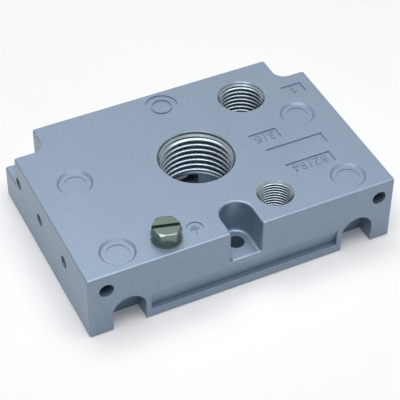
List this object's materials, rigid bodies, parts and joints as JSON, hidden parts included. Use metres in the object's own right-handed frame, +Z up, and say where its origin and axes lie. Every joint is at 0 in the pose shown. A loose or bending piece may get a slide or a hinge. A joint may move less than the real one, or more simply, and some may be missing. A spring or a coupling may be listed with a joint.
{
  "type": "valve end plate",
  "caption": "Die-cast end plate for a row of valves, with threaded ports, bolt pockets, arched openings and an earth screw.",
  "frame": {"origin": "middle of the plate's outline, on the joint face that it lies on", "axes": "+X along the long sides, towards the end with the label fields; +Y towards the side with the two notched corners; +Z up out of the ported outer face"},
  "size_m": [0.088, 0.0598, 0.0246],
  "materials": {
    "painted_casting": "satin blue-grey coat on die-cast aluminium",
    "plated_steel": "zinc plated, slightly dull"
  },
  "bodies": {
    "root": {"end_plate": "painted_casting", "earth_washer": "plated_steel", "earth_lock_washer": "plated_steel", "earth_screw": "plated_steel"}
  },
  "joints": []
}
